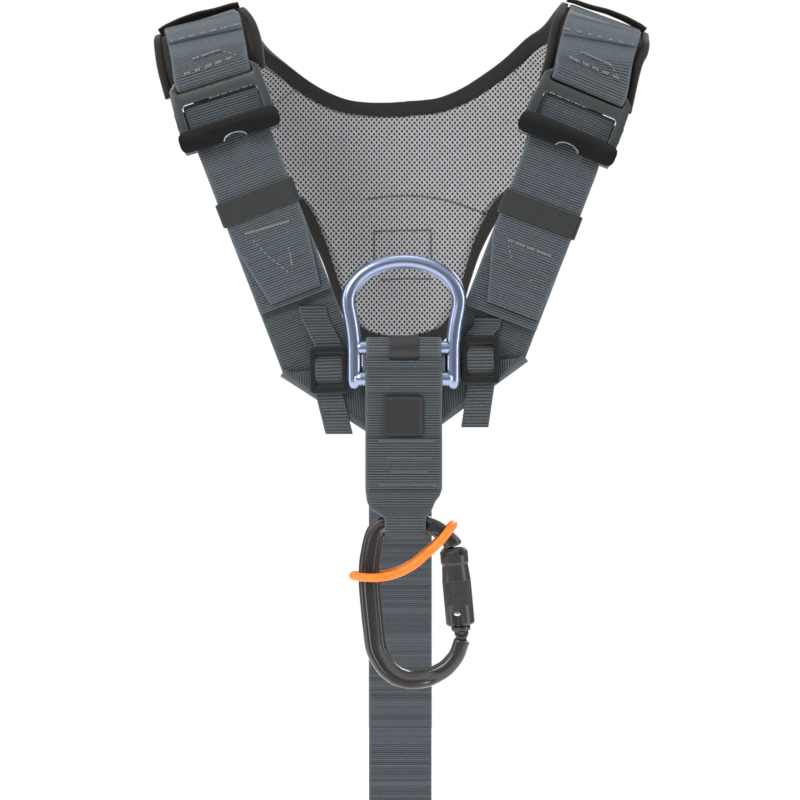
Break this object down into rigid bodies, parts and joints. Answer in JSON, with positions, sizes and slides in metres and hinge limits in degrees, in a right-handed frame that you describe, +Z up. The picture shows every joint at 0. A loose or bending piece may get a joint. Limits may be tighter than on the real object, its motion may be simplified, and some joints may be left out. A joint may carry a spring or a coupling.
{
  "type": "climbing chest harness",
  "caption": "Webbing chest harness with a padded mesh-lined back yoke, shoulder buckles, a front D-ring in a sewn webbing, and a locking carabiner hanging below it.",
  "frame": {"origin": "on the middle plane, level with the undersides of the two shoulder arches, midway from front to back", "axes": "+Z up as it hangs or is worn, -Y to the front of the wearer, +X to the right of a viewer in front"},
  "size_m": [0.3021, 0.1317, 0.5131],
  "materials": {
    "web": "woven",
    "dark_web": "woven",
    "outer_fabric": "matte",
    "mesh": "spacer mesh",
    "binding": "matte",
    "elastic": "matte",
    "matt_metal": "satin",
    "gloss_metal": "gloss",
    "black_plastic": "matte",
    "blue_metal": "gloss",
    "black_rubber": "matte",
    "silicone": "satin",
    "grey_metal": "satin"
  },
  "bodies": {
    "root": {"adjuster_strap_left": "web", "adjuster_strap_right": "web", "buckle_frame_left": "matt_metal", "buckle_frame_right": "matt_metal", "buckle_slider_left": "gloss_metal", "buckle_slider_right": "gloss_metal", "buckle_webbing_left": "web", "buckle_webbing_right": "web", "carabiner_body": "grey_metal", "centre_patch": "black_rubber", "centre_webbing": "dark_web", "chest_band": "dark_web", "d_ring": "blue_metal", "dorsal_strap": "dark_web", "edge_binding": "binding", "elastic_keeper_left": "elastic", "elastic_keeper_right": "elastic", "neck_binding": "binding", "ring_roll": "web", "roll_label": "black_rubber", "shoulder_keeper_left": "outer_fabric", "shoulder_keeper_right": "outer_fabric", "shoulder_webbing_left": "web", "shoulder_webbing_right": "web", "silicone_ring": "silicone", "small_slider_left": "black_plastic", "small_slider_right": "black_plastic", "small_strap_left": "dark_web", "small_strap_right": "dark_web", "yoke_lining": "mesh", "yoke_pad": "outer_fabric"},
    "gate": {"carabiner_gate": "grey_metal"},
    "sleeve": {"carabiner_sleeve": "grey_metal"}
  },
  "joints": [
    {"name": "gate_hinge", "type": "hinge", "parent": "root", "child": "gate", "pos_m": [0.03489, -0.0587, -0.35701], "axis": [0, -1, 0], "range_deg": [0, 20], "stiffness_Nm_per_rad": 0.05, "springref_deg": -17.19},
    {"name": "sleeve_twist", "type": "hinge", "parent": "gate", "child": "sleeve", "pos_m": [0.03489, -0.0587, -0.35701], "axis": [-0.0941, 0, 0.9956], "range_deg": [0, 90], "stiffness_Nm_per_rad": 0.01, "springref_deg": -17.19}
  ]
}
